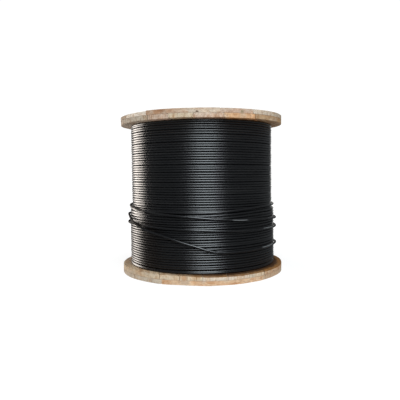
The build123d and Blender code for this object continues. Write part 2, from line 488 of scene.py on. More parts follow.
    def build(self) -> bpy.types.Material:
        """Make the material.

        The ring number is the distance from the heart over the ring spacing, and its remainder
        raised to a power is the dark late wood. Patches, specks, stain and blemishes lie over
        both kinds of grain.

        Returns:
            The material.
        """
        recipe = Recipe(self.name, Roughness=0.85, Specular_IOR_Level=0.2)
        place = recipe.place()
        grain = recipe.attribute("grain", "Vector")
        tone = recipe.attribute("tone", "Color")
        end = recipe.attribute("end").ramp(0.35, 0.8)
        soil, stain = recipe.attribute("soil"), recipe.attribute("stain")
        _, across, depth = recipe.split(grain)
        wander = recipe.noise(grain, (1.6, 9.0, 9.0), 3.0, 0.5) - 0.5
        heart = (across * across + depth * depth) ** 0.5 + wander * self.ring_wander
        ring = (heart / self.ring_spacing) % 1.0
        late = (ring**self.late_power) * (1.0 - ring.ramp(0.9, 1.0))
        mottle = recipe.noise(grain, (13.0, 30.0, 30.0), 5.0, 0.65)
        blotch = recipe.noise(grain, (60.0, 95.0, 95.0), 4.0, 0.65)
        speck = recipe.noise(grain, (330.0, 330.0, 330.0), 3.0, 0.7)
        flat, flat_height = self.side_grain(recipe, tone, grain, late)
        butt, butt_height = self.end_grain(recipe, tone, grain, late)
        wood = recipe.mix(end, flat, butt)
        wood = self.warm_patch.over(recipe, mottle, wood)
        wood = recipe.mix((1.0 - mottle).ramp(0.50, 0.66) * 0.4, wood, self.grey_colour)
        wood = self.dark_blotch.over(recipe, blotch, wood)
        wood = self.light_blotch.over(recipe, 1.0 - blotch, wood)
        wood = self.dark_speck.over(recipe, speck, wood)
        x, y, _ = recipe.split(place)
        radius = (x * x + y * y) ** 0.5 + 0.03 * (mottle - 0.5)
        side = x.ramp(*self.stain_and_shadow_side)
        near = 1.0 - (radius - 0.008 * side).ramp(*self.dirt_and_shadow_radii)
        wood = recipe.mix(stain * (0.18 * blotch + 0.7 * side), wood, self.oiled_colour)
        # Partly dirt and partly painted shadow: a dark band on the face next to the cable,
        # stronger to the right.
        wood = recipe.mix(stain * near * (0.1 + 0.9 * side), wood, self.dirt_and_shadow_colour)
        wood = recipe.mix((soil * (0.6 + 0.8 * mottle)).ramp(0.05, 1.0), wood, self.dirt_and_shadow_colour)
        for spot in self.blemishes:
            scale = [1.0 / reach for reach in spot.reach]
            shift = [-middle / reach for middle, reach in zip(spot.middle, spot.reach)]
            away = recipe.length(recipe.stretched(place, scale, shift)) + 1.2 * (blotch - 0.5)
            wood = recipe.mix((1.0 - away.ramp(0.4, 1.0)) * spot.strength, wood, spot.colour)
        recipe.feed("Base Color", wood)
        recipe.feed("Roughness", 0.72 + 0.25 * blotch)
        height = flat_height * (1.0 - end) + butt_height * end
        recipe.bump(height + late * 0.25 + blotch * 0.5 + speck * 0.35, 0.0014, 0.8)
        return recipe.material


@dataclass(frozen=True)
class BarrelTimber:
    """Plain sawn staves, darker than the flanges: fibres and streaks that run up the barrel."""

    name: str = "barrel_timber"
    light: Colour = linear(196, 160, 116)
    dark: Colour = linear(140, 104, 70)
    dark_fibre: Glaze = Glaze(0.45, 0.75, 0.5, (0.4, 0.3, 0.2))

    def build(self) -> bpy.types.Material:
        """Make the material from noise stretched along the drum's axis.

        Returns:
            The material.
        """
        recipe = Recipe(self.name, Roughness=0.82, Specular_IOR_Level=0.25)
        place = recipe.place()
        streak = recipe.noise(place, (34.0, 34.0, 1.4), 4.0, 0.6)
        fibre = recipe.noise(place, (380.0, 380.0, 6.0), 3.0, 0.6)
        wood = recipe.mix(streak.ramp(0.3, 0.7), self.dark, self.light)
        recipe.feed("Base Color", self.dark_fibre.over(recipe, 1.0 - fibre, wood))
        recipe.feed("Roughness", 0.7 + 0.25 * fibre)
        recipe.bump(fibre + streak, 0.0012, 0.7)
        return recipe.material


@dataclass(frozen=True)
class CableSheath:
    """Black polyethylene sheath: satin, with draw lines along the cable, scuffs and a little dust;
    some stretches are dulled dark as painted shade, and others carry pale painted highlights."""

    name: str = "cable_sheath"
    black: Colour = linear(12, 12, 13)
    dusty: Colour = linear(38, 38, 37)
    # Colour of the dull shader that paints shade on the cable.
    painted_shade: Colour = linear(17, 13, 11)
    # Pale grey of the painted highlights.
    painted_highlight: Colour = linear(104, 106, 106)
    gloss: float = 0.24

    def build(self) -> bpy.types.Material:
        """Make the material on the cable's own lay: metres along it, metres round it, and turn.

        Returns:
            The material.
        """
        recipe = Recipe(self.name, Roughness=self.gloss, IOR=1.5, Specular_IOR_Level=0.62)
        lay = recipe.attribute("lay", "Vector")
        lines = recipe.noise(lay, (3.0, 1500.0, 7.0), 2.0, 0.6)
        scuff = recipe.noise(lay, (16.0, 300.0, 3.0), 4.0, 0.65)
        patch = recipe.noise(lay, (2.6, 30.0, 5.0), 3.0, 0.6)
        film = patch.ramp(0.5, 0.8) * 0.4 + scuff.ramp(0.62, 0.8) * 0.4
        # Painted highlights: pale grey streaks along the strands, broken up by the scuff noise.
        highlight_share = recipe.attribute("painted_highlight") * scuff.ramp(0.25, 0.6)
        sheath = recipe.mix(film, self.black, self.dusty)
        recipe.feed("Base Color", recipe.mix(highlight_share, sheath, self.painted_highlight))
        rough = self.gloss + 0.05 * (patch - 0.4) + 0.05 * scuff.ramp(0.55, 0.8)
        recipe.feed("Roughness", rough)
        recipe.bump(lines * 0.5 + scuff * 0.5, 0.00012, 0.06)
        # Painted shade: where the attribute is high, a dark, rough shader with almost no
        # reflection lies over the sheath.
        dull = {"Base Color": (*self.painted_shade, 1.0), "Roughness": 0.6, "Specular IOR Level": 0.06}
        recipe.overlay(
            recipe.attribute("painted_shade"), recipe.add("ShaderNodeBsdfPrincipled", None, dull)
        )
        return recipe.material


@dataclass(frozen=True)
class ZincSteel:
    """Zinc plated steel that has gone dull, with brown rust in patches and pits."""

    name: str = "zinc_steel"
    zinc: Colour = linear(176, 174, 168)
    dark_zinc: Colour = (0.2, 0.2, 0.2)
    rust: Colour = linear(104, 62, 36)
    rust_share: float = 0.5

    def build(self) -> bpy.types.Material:
        """Make the material from two noises, one for the spangle and one for the rust.

        Returns:
            The material.
        """
        recipe = Recipe(self.name, Roughness=0.45, Metallic=0.9)
        place = recipe.place()
        spangle = recipe.noise(place, (420.0, 420.0, 420.0), 3.0, 0.6)
        rusty = recipe.noise(place, (90.0, 90.0, 90.0), 5.0, 0.65)
        rust = rusty.ramp(1.0 - self.rust_share - 0.06, 1.0 - self.rust_share + 0.1)
        metal = recipe.mix(spangle.ramp(0.3, 0.75) * 0.5, self.zinc, self.dark_zinc)
        recipe.feed("Base Color", recipe.mix(rust, metal, self.rust))
        recipe.feed("Metallic", 0.9 - 0.8 * rust)
        recipe.feed("Roughness", 0.38 + 0.2 * spangle + 0.3 * rust)
        recipe.bump(spangle * 0.3 + rusty * rust, 0.0006, 0.6)
        return recipe.material


@dataclass(frozen=True)
class StudioFloor:
    """Plain white studio floor that runs out into white."""

    name: str = "studio_floor"
    base: Colour = (0.2, 0.2, 0.2)
    near: float = 0.84
    far: float = 1.05
    fade: tuple[float, float] = (0.38, 1.3)

    def build(self) -> bpy.types.Material:
        """Make the material: white, with a glow that grows with the distance from the drum.

        Returns:
            The material.
        """
        recipe = Recipe(self.name, Roughness=0.9, Specular_IOR_Level=0.0, Emission_Strength=1.0)
        recipe.shader.inputs["Base Color"].default_value = (*self.base, 1.0)
        x, y, _ = recipe.split(recipe.place())
        away = ((x * x + y * y) ** 0.5).ramp(*self.fade)
        glow = self.near + (self.far - self.near) * away
        sockets = dict.fromkeys(("Red", "Green", "Blue"), glow)
        grey = recipe.add("ShaderNodeCombineColor", None, sockets)
        recipe.feed("Emission Color", Value(recipe, grey.outputs["Color"]))
        return recipe.material


class Piece:
    """Mesh building shared by every sub-assembly."""

    @staticmethod
    def grid_faces(rows: int, columns: int, ring_rows: bool, ring_columns: bool) -> Array:
        """Quads of a grid of points.

        Args:
            rows: Rows of points.
            columns: Points in a row.
            ring_rows: Whether the last row joins the first.
            ring_columns: Whether each row's last point joins its first.

        Returns:
            Four point numbers for each quad.
        """
        row = np.arange(rows if ring_rows else rows - 1)[:, None]
        column = np.arange(columns if ring_columns else columns - 1)[None, :]
        next_row, next_column = (row + 1) % rows, (column + 1) % columns
        corners = (
            row * columns + column,
            row * columns + next_column,
            next_row * columns + next_column,
            next_row * columns + column,
        )
        return np.stack(np.broadcast_arrays(*corners), -1).reshape(-1, 4)

    @staticmethod
    def make(
        name: str, points: Array, faces: Sequence[Sequence[int]], weld: bool = True
    ) -> bpy.types.Object:
        """Put points and faces into a new object at the origin.

        Args:
            name: The object's name.
            points: Places in the drum's frame, in metres.
            faces: Point numbers of each face.
            weld: Whether to merge points in one place and turn the faces outwards.

        Returns:
            The object, in the scene.
        """
        mesh = bpy.data.meshes.new(name)
        mesh.from_pydata(np.asarray(points, float).reshape(-1, 3), [], faces)
        if weld:
            shell = bmesh.new()
            shell.from_mesh(mesh)
            bmesh.ops.remove_doubles(shell, verts=shell.verts, dist=1e-6)
            bmesh.ops.dissolve_degenerate(shell, edges=shell.edges, dist=1e-6)
            bmesh.ops.recalc_face_normals(shell, faces=shell.faces)
            shell.to_mesh(mesh)
            shell.free()
        mesh.update()
        mesh.shade_smooth()
        piece = bpy.data.objects.new(name, mesh)
        bpy.context.scene.collection.objects.link(piece)
        return piece

    @staticmethod
    def joined(name: str, shells: Sequence[Shell]) -> bpy.types.Object:
        """One piece from several closed shells.

        Args:
            name: The piece's name.
            shells: Points and faces of each shell.

        Returns:
            The piece, in the scene.
        """
        starts = np.cumsum([0] + [len(points) for points, _ in shells[:-1]])
        points = np.concatenate([points for points, _ in shells])
        faces = np.concatenate([faces + start for (_, faces), start in zip(shells, starts)])
        return Piece.make(name, points, faces)

    @staticmethod
    def places(mesh: bpy.types.Mesh, what: str = "co") -> Array:
        """Read a mesh's vertices.

        Args:
            mesh: The mesh.
            what: Either "co" for their places or "normal" for their normals.

        Returns:
            A row for each vertex.
        """
        out = np.empty(len(mesh.vertices) * 3, np.float32)
        mesh.vertices.foreach_get(what, out)
        return out.reshape(-1, 3).astype(float)

    @staticmethod
    def give(piece: bpy.types.Object, name: str, values: Array) -> None:
        """Store an attribute on the vertices.

        Args:
            piece: The piece that gets it.
            name: The attribute's name.
            values: For each vertex one number, a vector, or a colour with alpha.
        """
        kinds = {1: ("FLOAT", "value"), 3: ("FLOAT_VECTOR", "vector"), 4: ("FLOAT_COLOR", "color")}
        kind, key = kinds[1 if values.ndim == 1 else values.shape[1]]
        layer = piece.data.attributes.new(name, kind, "POINT")
        layer.data.foreach_set(key, np.ascontiguousarray(values, np.float32).ravel())

    @staticmethod
    def settle(
        piece: bpy.types.Object, slot: str, finish: bpy.types.Material, nodes: Sequence[str] = ()
    ) -> None:
        """Dress a piece, let it ride on the drum, and hide the nodes that it stands for.

        Args:
            piece: The finished piece.
            slot: Not used.
            finish: Its material.
            nodes: The nodes that it replaces.
        """
        piece.data.materials.clear()
        piece.data.materials.append(finish)
        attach(piece, BODY)
        if nodes:
            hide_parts(*nodes)
        log.info("%s: %d faces", piece.name, len(piece.data.polygons))

    @staticmethod
    def circle(steps: int) -> Array:
        """Angles of even steps round a circle, in radians."""
        return np.linspace(0.0, 2.0 * math.pi, steps, endpoint=False)

    @staticmethod
    def polar(radii: Array, angles: Array, heights: Array) -> Array:
        """Points at radii, angles and heights about the Z axis, broadcast together."""
        parts = np.broadcast_arrays(radii * np.cos(angles), radii * np.sin(angles), heights)
        return np.stack(parts, -1).reshape(-1, 3)

    @staticmethod
    def turned(profile: Sequence[Sequence[float]], segments: int) -> Shell:
        """A surface of revolution: a closed profile of (radius, height) carried round the Z axis.

        Args:
            profile: The profile's corners, in order.
            segments: Steps round the axis.

        Returns:
            Points and quads.
        """
        radii, heights = np.asarray(profile).T
        points = Piece.polar(radii, Piece.circle(segments)[:, None], heights)
        return points, Piece.grid_faces(segments, len(radii), True, True)

    @staticmethod
    def tube(path: Array, outward: Array, radius: float, angles: Array) -> Array:
        """A round profile carried along a path.

        Each ring is the path's point plus the radius times (cos a of the outward direction, made
        square to the path, plus sin a of the third direction).

        Args:
            path: Points along the middle.
            outward: A direction for each, away from the drum's axis.
            radius: The tube's radius.
            angles: Angles round the profile, in radians.

        Returns:
            Points, rings by angles by 3.
        """
        ahead = np.gradient(path, axis=0)
        ahead /= np.linalg.norm(ahead, axis=1, keepdims=True)
        side = outward - (outward * ahead).sum(1, keepdims=True) * ahead
        side /= np.linalg.norm(side, axis=1, keepdims=True)
        third = np.cross(ahead, side)
        return (
            path[:, None]
            + radius * np.cos(angles)[None, :, None] * side[:, None]
            + radius * np.sin(angles)[None, :, None] * third[:, None]
        )


@dataclass
class Winding(Piece):
    """The cable on the drum: turns of the outer full layer, turns of the part layer over its lower
    end, whose last ones have slipped, and the loose turns that lie over them.

    Azimuths are in degrees from the front, lifts in millimetres. The loose route gives each
    corner's azimuth, height in millimetres and seat; a painted highlight gives its first and last
    azimuth and its side of the cable.
    """

    cable_radius: float = 0.0051
    pitch: float = 0.0104
    full_centre: float = 0.3240
    part_centre: float = 0.3333
    bore_radius: float = 0.1803
    layer_rise: float = 0.0093
    climb: float = 0.009
    lowest: float = 0.040
    highest: float = 0.676
    flange_gap: float = 0.0002
    core_depth: float = 0.003
    core_gap: float = 0.0003
    core_step: tuple[float, float] = (0.296, 0.276)
    scallop: float = 0.0022
    stray_height: float = 0.0005
    stray_radius: float = 0.0004
    steps: int = 112
    core_steps: int = 96
    scallop_steps: int = 6
    turn_cycle: float = 97.0
    lift_blur: int = 4
    upper_count: int = 39
    lower_count: int = 26
    end_azimuth: float = 150.0
    helix_height: float = 0.279
    helix_azimuth: float = -711.0
    sag_end: float = -810.0
    sag_turns: float = 5.0
    # Painted shade: azimuths and heights over which the turns are dulled dark.
    painted_shade_low: tuple[float, float, float, float] = (-100.0, -80.0, -42.0, -25.0)
    painted_shade_heights: tuple[float, float] = (0.262, 0.225)
    painted_shade_left: tuple[float, float, float, float] = (-130.0, -112.0, -52.0, -42.0)
    painted_shade_right: tuple[float, float, float, float] = (62.0, 74.0, 112.0, 128.0)
    highlight_fade: float = 3.0
    highlight_width: float = 22.0
    ring_angles: Array = field(
        default_factory=lambda: np.radians(np.r_[np.linspace(-112.0, 112.0, 10), 150.0, 210.0])
    )
    seats: tuple[float, float, float] = (0.3345, 0.3441, 0.3546)
    sag_azimuths: tuple[float, ...] = (-180, -135, -90, -45, -6, 9, 27.5, 49, 74, 120, 180)
    sag_lifts: tuple[float, ...] = (7.0, 8.0, 9.0, 4.0, 0.5, 0.0, 5.5, 11.8, 8.6, 7.0, 7.0)
    slip_azimuths: tuple[float, ...] = (
        -630, -600, -540, -450, -405, -366, -341, -328, -311, -283, -240, -180, -150,
    )
    slip_lifts: tuple[float, ...] = (
        8.4, 9.5, 12.0, 13.5, 8.0, 3.0, 5.3, 14.5, 20.4, 19.6, 20.4, 21.7, 22.8,
    )
    loose_route: tuple[tuple[float, float, float], ...] = (
        (-150, 318.0, 0.0), (-128, 317.0, 0.0), (-104, 314.0, 0.0), (-86, 311.5, 0.1),
        (-72, 310.0, 0.4), (-60, 305.0, 0.7), (-49, 298.5, 1.0), (-38, 291.5, 1.0),
        (-27, 285.5, 1.0), (-15, 280.0, 1.0), (-2, 273.5, 1.0), (12, 265.5, 1.0),
        (26, 261.0, 1.0), (40, 258.3, 1.0), (58, 255.0, 1.0), (76, 248.5, 1.1),
        (94, 245.5, 1.1), (114, 252.0, 1.0), (136, 262.0, 1.0), (158, 267.5, 1.0),
        (180, 268.0, 1.0), (204, 262.0, 1.0), (228, 250.5, 1.0), (252, 238.0, 1.0),
        (272, 233.0, 1.1), (288, 234.5, 1.1), (303, 236.5, 1.0), (318, 232.5, 1.0),
        (334, 228.0, 1.0), (352, 224.5, 1.0), (369, 219.5, 1.0), (386, 214.8, 1.0),
        (404, 212.8, 1.0), (423, 211.5, 1.0), (441, 209.0, 1.1), (461, 209.5, 1.1),
        (481, 213.5, 1.1), (500, 221.0, 1.6), (517, 231.0, 2.0), (534, 242.0, 2.0),
        (551, 250.5, 2.0), (568, 256.5, 2.0), (586, 261.0, 1.8), (604, 263.5, 1.4),
        (621, 266.5, 1.1), (637, 272.5, 1.0), (648, 265.0, 1.1), (656, 254.5, 1.7),
        (664, 241.5, 2.1), (672, 226.0, 2.0), (680, 212.0, 1.6), (689, 200.5, 1.0),
        (698, 186.0, 1.0), (707, 169.5, 1.0), (716, 155.5, 1.0), (724, 138.5, 1.0),
        (732, 128.5, 1.0), (743, 127.5, 1.0), (757, 129.5, 1.0), (774, 131.0, 1.0),
        (792, 134.0, 1.1), (805, 132.5, 1.1), (818, 125.0, 1.1), (832, 140.5, 1.0),
        (848, 160.0, 1.0), (862, 183.0, 1.0), (873, 203.0, 1.0), (883, 219.0, 1.0),
    )
    # Painted highlights on the loose turns: first and last azimuth, and side of the cable in
    # degrees.
    painted_highlights: tuple[tuple[float, float, float], ...] = (
        (20.0, 34.0, 12.0), (409.0, 428.0, -37.0), (767.0, 788.0, -37.0),
    )

    def around(self, azimuths: Array, heights: Array, radii: Array) -> tuple[Array, Array]:
        """Points round the drum's axis.

        Args:
            azimuths: Degrees from the front.
            heights: Heights above the floor.
            radii: Distances from the axis.

        Returns:
            The points, and the directions out from the axis.
        """
        angles = np.radians(azimuths)
        outward = np.stack([np.sin(angles), -np.cos(angles), np.zeros_like(angles)], -1)
        points = outward * radii[:, None]
        points[:, 2] = heights
        return points, outward

    def lay_cable(
        self, name: str, path: Array, outward: Array, azimuths: Array
    ) -> bpy.types.Object:
        """Carry the cable's round section along a path and close both ends.

        Args:
            name: The piece's name.
            path: The cable's middle.
            outward: Directions out from the drum's axis.
            azimuths: Unwrapped azimuths, which number the turns.

        Returns:
            The cable, with its lay stored as an attribute.
        """
        rings = self.tube(path, outward, self.cable_radius, self.ring_angles)
        count, sides = len(path), len(self.ring_angles)
        faces = self.grid_faces(count, sides, False, True).tolist()
        faces += [list(range(sides))[::-1], list(range((count - 1) * sides, count * sides))]
        piece = self.make(name, rings, faces, weld=False)
        run = np.r_[0.0, np.cumsum(np.linalg.norm(np.diff(path, axis=0), axis=1))]
        turns = np.floor((azimuths + QUARTER_TURN) / FULL_TURN) % self.turn_cycle
        girth = self.ring_angles * self.cable_radius
        lay = np.stack(np.broadcast_arrays(run[:, None], girth[None, :], turns[:, None]), -1)
        self.give(piece, "lay", lay.reshape(-1, 3))
        return piece

    def paint_shade(self, piece: bpy.types.Object, painted_shade: Array) -> None:
        """Store how far each ring of a cable is dulled dark as painted shade."""
        self.give(piece, "painted_shade", np.repeat(painted_shade, len(self.ring_angles)))

    def unevenness(self, azimuths: Array, seed: int) -> tuple[Array, Array]:
        """How far the hand of the winder strays, in height and in radius along the cable."""
        lift = self.stray_height * Ripple(seed, 1500.0, 150.0).at(azimuths)
        return lift, self.stray_radius * Ripple(seed + 1, 1300.0, 140.0).at(azimuths)

    def upper_turns(self) -> bpy.types.Object:
        """Turns of the outer full layer, from under the part layer to the upper flange.

        The height falls by one pitch a turn as the azimuth grows, and the first turn lies flat
        against the flange and comes up from the layer below.

        Returns:
            The turns.
        """
        start, count = self.end_azimuth, self.upper_count
        azimuths = np.linspace(start, start + count * FULL_TURN, count * self.steps)
        wound = (azimuths - start) / FULL_TURN
        ceiling = self.highest - self.cable_radius - self.flange_gap
        heights = ceiling - self.pitch * np.maximum(0.0, wound - 0.75 + 0.25 * np.exp(-wound))
        lift, swell = self.unevenness(azimuths, 11)
        heights = np.minimum(heights + lift * smooth_step(0.5, 2.0, wound), ceiling)
        radii = self.full_centre + swell - self.climb * (1.0 - smooth_step(0.0, 0.1, wound))
        path, outward = self.around(azimuths, heights, radii)
        return self.lay_cable("upper_turns", path, outward, azimuths)

    def lower_turns(self) -> bpy.types.Object:
        """Turns of the part layer, from the lower flange up, with the slipped ones at their end.

        The height is a helix of one pitch a turn plus a lift, which grows over some turns and
        follows the azimuth, as turns that have sagged at the front do.

        Returns:
            The turns, dulled dark at the lower left as painted shade.
        """
        stop = -self.end_azimuth
        start = stop - self.lower_count * FULL_TURN
        azimuths = np.linspace(start, stop, self.lower_count * self.steps)
        side = wrapped(azimuths)
        helix = self.helix_height + self.pitch * (azimuths - self.helix_azimuth) / FULL_TURN
        span = self.sag_turns * FULL_TURN
        share = np.clip((azimuths - self.sag_end + span) / span, 0.0, 1.0)
        sag = share * np.interp(side, self.sag_azimuths, self.sag_lifts)
        slip = np.interp(azimuths, self.slip_azimuths, self.slip_lifts)
        lift = np.where(azimuths < self.slip_azimuths[0], sag, slip)
        width = 2 * self.lift_blur + 1
        lift = np.pad(lift, self.lift_blur, mode="edge")
        lift = np.convolve(lift, np.ones(width) / width, "valid") / 1000.0
        stray, swell = self.unevenness(azimuths, 23)
        fade = between(start + 400.0, start + 900.0, stop - 60.0, stop, azimuths)
        floor = self.lowest + self.cable_radius + self.flange_gap
        heights = np.maximum(helix + lift + stray * fade, floor)
        climb = self.climb * (1.0 - smooth_step(start, start + 36.0, azimuths))
        join = smooth_step(stop - 300.0, stop, azimuths)
        radii = (self.part_centre + swell - climb) * (1.0 - join) + self.seats[0] * join
        path, outward = self.around(azimuths, heights, radii)
        piece = self.lay_cable("lower_turns", path, outward, azimuths)
        # Painted shade: the lower left turns are dulled dark, most towards the middle of the band.
        painted_shade = between(*self.painted_shade_low, side) * smooth_step(*self.painted_shade_heights, heights)
        self.paint_shade(piece, painted_shade * (0.2 + 0.55 * smooth_step(-60.0, -46.0, side)))
        return piece

    def loose_path(self) -> Array:
        """The middle of the loose turns, along a smooth spline through the route's corners.

        A corner stands outside its seat's circle by one over the cosine of half the step to its
        neighbours, so that the spline runs on the seat.

        Returns:
            Points read from the spline.
        """
        route = np.array(self.loose_route)
        steps = np.gradient(route[:, 0]) / 2.0
        radii = np.interp(route[:, 2], range(3), self.seats) / np.cos(np.radians(steps))
        radii[[0, -1]] *= np.cos(np.radians(steps[[0, -1]]))
        corners, _ = self.around(route[:, 0], route[:, 1] / 1000.0, radii)
        curve = bpy.data.curves.new("loose_route", "CURVE")
        curve.dimensions = "3D"
        spline = curve.splines.new("NURBS")
        spline.points.add(len(corners) - 1)
        spline.points.foreach_set("co", np.c_[corners, np.ones(len(corners))].ravel())
        spline.order_u = 3
        spline.use_endpoint_u = True
        spline.resolution_u = 8
        bare = bpy.data.objects.new("loose_route", curve)
        mesh = bpy.data.meshes.new_from_object(bare)
        path = self.places(mesh)
        bpy.data.meshes.remove(mesh)
        bpy.data.objects.remove(bare)
        bpy.data.curves.remove(curve)
        return path

    def loose_turns(self, path: Array) -> bpy.types.Object:
        """The last turns, loose over the winding, with painted shade at both sides and painted
        highlights in places.

        Args:
            path: Their middle.

        Returns:
            The turns.
        """
        outward = path * (1.0, 1.0, 0.0)
        outward /= np.linalg.norm(outward, axis=1, keepdims=True)
        azimuths = np.degrees(np.unwrap(np.arctan2(path[:, 0], -path[:, 1])))
        piece = self.lay_cable("loose_turns_cable", path, outward, azimuths)
        side = wrapped(azimuths)
        # Painted shade: both sides of the loose turns are dulled dark.
        painted_shade = between(*self.painted_shade_left, side) + 0.7 * between(*self.painted_shade_right, side)
        self.paint_shade(piece, painted_shade)
        # Painted highlights: pale streaks along one side of the strand over the listed azimuths.
        painted_highlight = np.zeros((len(path), len(self.ring_angles)))
        fade = self.highlight_fade
        for start, stop, face in self.painted_highlights:
            stretch = between(start, start + fade, stop - fade, stop, azimuths)
            off = (wrapped(np.degrees(self.ring_angles)) - face) / self.highlight_width
            painted_highlight = np.maximum(painted_highlight, stretch[:, None] * np.exp(-(off**2)))
        self.give(piece, "painted_highlight", painted_highlight.ravel())
        return piece

    def core(self) -> bpy.types.Object:
        """The layers underneath, turned in one with a scalloped row of turns at each end.

        The profile runs up the bore, out over the upper end in half circles one layer apart,
        down behind the outer turns, and back over the lower end.

        Returns:
            The layers.
        """
        layers = round((self.full_centre - self.bore_radius) / self.layer_rise)
        waves = np.linspace(0.0, layers, layers * self.scallop_steps + 1)
        dips = self.scallop * (1.0 - np.abs(np.sin(math.pi * waves)))
        radii = self.bore_radius + waves * self.layer_rise
        full, part = self.full_centre - self.core_depth, self.part_centre - self.core_depth
        radii[-1] = full
        upper = np.c_[radii, self.highest - self.core_gap - dips]
        step = np.c_[(full, part), self.core_step]
        lower = np.c_[radii, self.lowest + self.core_gap + dips][::-1]
        lower[0, 0] = part
        points, faces = self.turned(np.r_[upper, step, lower], self.core_steps)
        piece = self.make("winding_core", points, faces)
        places = self.places(piece.data)
        round_way = np.radians(azimuths_of(places)) * self.full_centre
        depth = np.hypot(places[:, 0], places[:, 1]) * 100.0
        self.give(piece, "lay", np.c_[round_way, places[:, 2], depth])
        return piece

    def build(self, finish: bpy.types.Material) -> None:
        """Build and dress the whole winding.

        Args:
            finish: The cable's sheath.
        """
        slot = "cable_sheath"
        core, upper, lower = self.core(), self.upper_turns(), self.lower_turns()
        self.settle(core, slot, finish, ["cable_winding"])
        self.settle(upper, slot, finish)
        self.settle(lower, slot, finish)
        path = self.loose_path()
        loose = self.loose_turns(path)
        self.settle(loose, slot, finish, ["loose_turns"])


class Face(Enum):
    """Which face of a ply is free, as a sign along Z."""

    BOTTOM = -1
    TOP = 1


@dataclass(frozen=True)
class Extent:
    """A board's two joints across its ply, and its lowest and highest points."""

    low: float
    high: float
    bottom: float
    top: float


